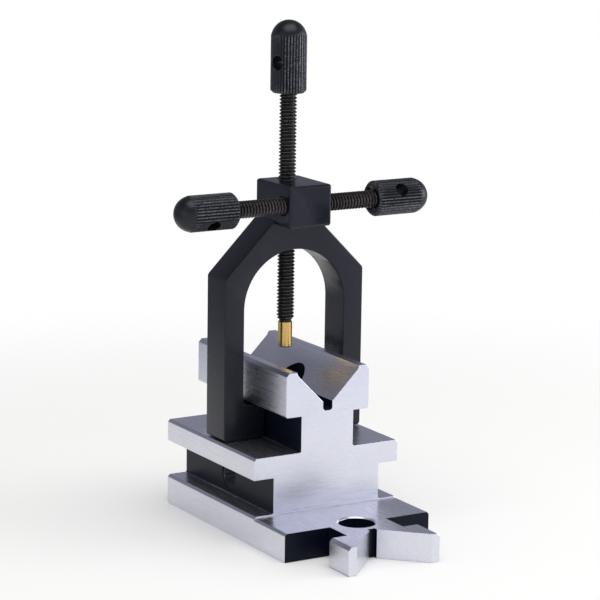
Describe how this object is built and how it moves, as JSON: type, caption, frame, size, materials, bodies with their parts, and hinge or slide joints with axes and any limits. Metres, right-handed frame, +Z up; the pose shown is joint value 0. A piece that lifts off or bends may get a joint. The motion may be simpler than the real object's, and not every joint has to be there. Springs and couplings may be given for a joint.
{
  "type": "v block",
  "caption": "Toolroom V block with side slots, a fishtail end jaw and a sliding clamp yoke that carries knurled, cross-drilled screws with brass tips.",
  "frame": {"origin": "on the bottom face of the block, on its centre plane, straight below the front face of the V", "axes": "+X across the block to the right, +Y along the V towards the back, +Z up; the jaw points to -Y"},
  "size_m": [0.1038, 0.1105, 0.1833],
  "materials": {
    "ground_steel": "ground bright, black oxide in the relieved faces",
    "black_casting": "satin black oxide",
    "black_steel": "black oxide, oiled",
    "brass": "turned bright"
  },
  "bodies": {
    "block": {"v_block": "ground_steel"},
    "yoke": {"yoke": "black_casting"},
    "main_feed": {"main_tip": "brass"},
    "main_spindle": {"main_screw": "black_steel", "main_knob": "black_steel"},
    "left_feed": {"left_tip": "brass"},
    "left_spindle": {"left_screw": "black_steel", "left_knob": "black_steel"},
    "right_feed": {"right_tip": "brass"},
    "right_spindle": {"right_screw": "black_steel", "right_knob": "black_steel"}
  },
  "joints": [
    {"name": "yoke_slide", "type": "slide", "parent": "block", "child": "yoke", "axis": [0, 1, 0], "range_m": [-0.0238, 0.0272]},
    {"name": "main_feed", "type": "slide", "parent": "yoke", "child": "main_feed", "axis": [0, 0, 1], "range_m": [-0.0128, 0.027]},
    {"name": "main_turn", "type": "hinge", "parent": "main_feed", "child": "main_spindle", "pos_m": [0, 0.03068, 0.1], "axis": [0, 0, 1], "range_deg": [-3640, 7670]},
    {"name": "left_feed", "type": "slide", "parent": "yoke", "child": "left_feed", "axis": [-1, 0, 0], "range_m": [-0.0005, 0.004]},
    {"name": "left_turn", "type": "hinge", "parent": "left_feed", "child": "left_spindle", "pos_m": [-0.02, 0.01905, 0.11825], "axis": [-1, 0, 0], "range_deg": [-150, 1150]},
    {"name": "right_feed", "type": "slide", "parent": "yoke", "child": "right_feed", "axis": [1, 0, 0], "range_m": [-0.0005, 0.004]},
    {"name": "right_turn", "type": "hinge", "parent": "right_feed", "child": "right_spindle", "pos_m": [0.02, 0.01905, 0.11825], "axis": [1, 0, 0], "range_deg": [-150, 1150]}
  ],
  "couplings": [
    {"joint": "main_turn", "follows": "main_feed", "rad_per_m": 4947.4},
    {"joint": "left_turn", "follows": "left_feed", "rad_per_m": 4947.4},
    {"joint": "right_turn", "follows": "right_feed", "rad_per_m": 4947.4}
  ]
}
